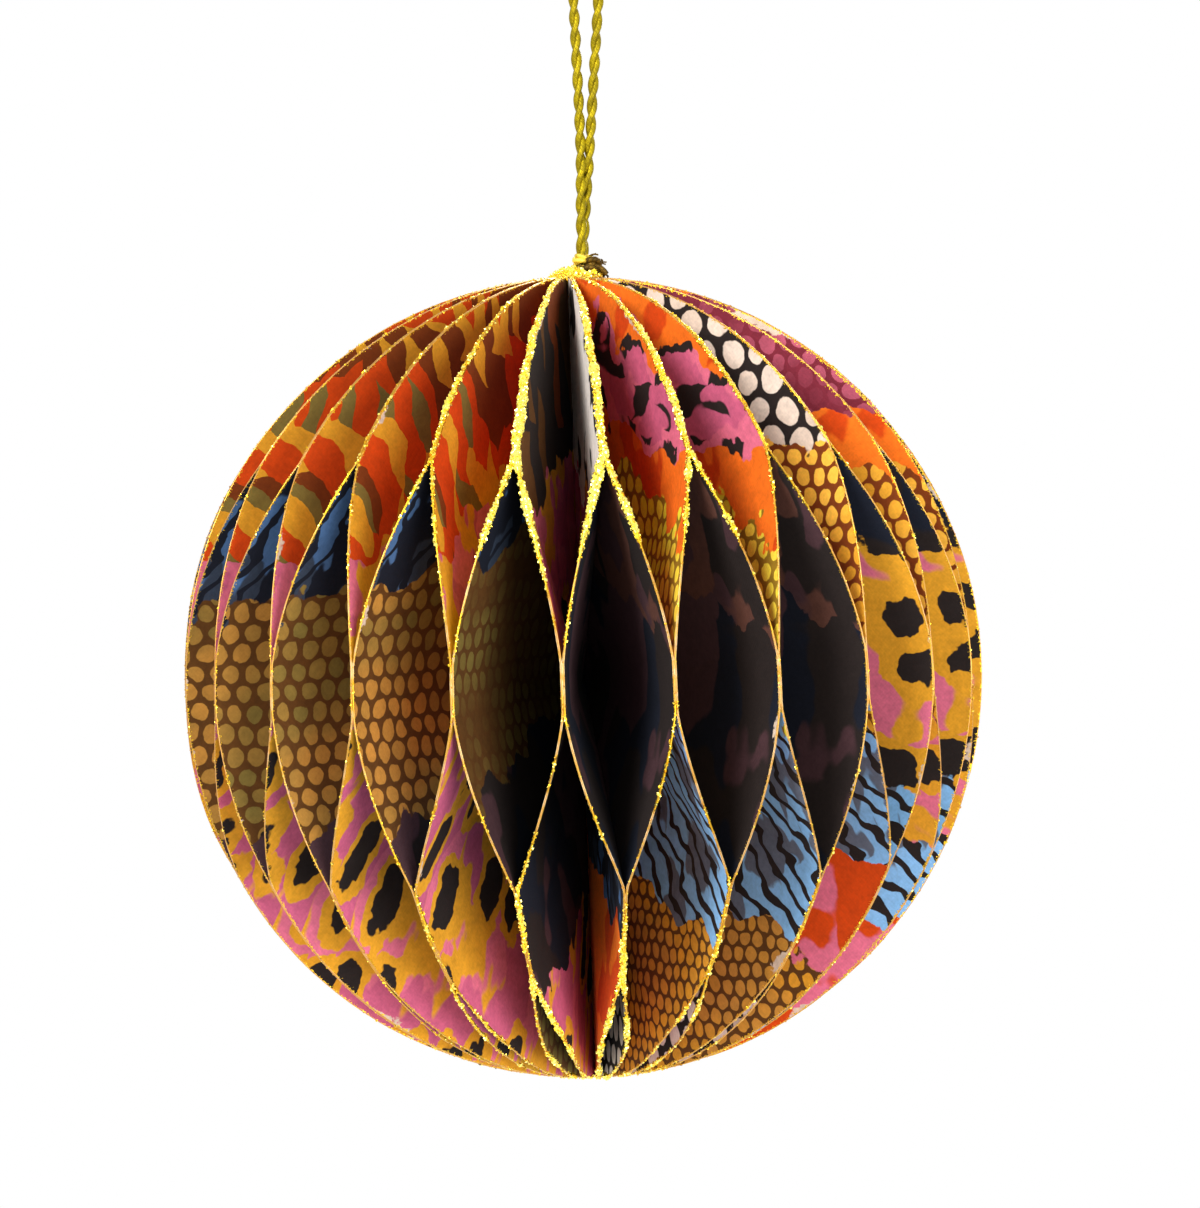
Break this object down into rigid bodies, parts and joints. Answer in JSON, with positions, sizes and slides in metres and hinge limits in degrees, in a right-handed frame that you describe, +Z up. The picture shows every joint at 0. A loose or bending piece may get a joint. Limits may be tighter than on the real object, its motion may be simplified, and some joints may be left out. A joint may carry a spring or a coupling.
{
  "type": "honeycomb paper bauble",
  "caption": "Round hanging bauble of printed half-disc paper leaves glued edge to edge into lens-shaped cells, with glittered rims and a metallic cord loop.",
  "frame": {"origin": "centre of the paper ball", "axes": "+Z up the ball's axis towards the hanging loop, -Y towards the viewer through the seam cell, +X to the viewer's right"},
  "size_m": [0.08, 0.08, 0.1176],
  "materials": {
    "printed_paper": "matt printed cotton-like paper",
    "gold_glitter": "sparkling glitter grains on the cut edges",
    "gold_cord": "twisted metallic yarn"
  },
  "bodies": {
    "root": {"leaf_01": "printed_paper", "leaf_02": "printed_paper", "leaf_03": "printed_paper", "leaf_04": "printed_paper", "leaf_05": "printed_paper", "leaf_06": "printed_paper", "leaf_07": "printed_paper", "leaf_08": "printed_paper", "leaf_09": "printed_paper", "leaf_10": "printed_paper", "leaf_11": "printed_paper", "leaf_12": "printed_paper", "leaf_13": "printed_paper", "leaf_14": "printed_paper", "leaf_15": "printed_paper", "leaf_16": "printed_paper", "leaf_17": "printed_paper", "leaf_18": "printed_paper", "leaf_19": "printed_paper", "leaf_20": "printed_paper", "leaf_21": "printed_paper", "leaf_22": "printed_paper", "leaf_23": "printed_paper", "leaf_24": "printed_paper", "leaf_25": "printed_paper", "leaf_26": "printed_paper", "leaf_27": "printed_paper", "leaf_28": "printed_paper", "leaf_29": "printed_paper", "leaf_30": "printed_paper", "leaf_31": "printed_paper", "leaf_32": "printed_paper", "leaf_33": "printed_paper", "leaf_34": "printed_paper", "leaf_35": "printed_paper", "leaf_36": "printed_paper", "leaf_37": "printed_paper", "leaf_38": "printed_paper", "leaf_39": "printed_paper", "leaf_40": "printed_paper", "leaf_41": "printed_paper", "leaf_42": "printed_paper", "leaf_43": "printed_paper", "leaf_44": "printed_paper", "leaf_45": "printed_paper", "leaf_46": "printed_paper", "leaf_47": "printed_paper", "leaf_48": "printed_paper", "cord_knot": "gold_cord", "hanging_cord": "gold_cord"}
  },
  "joints": []
}
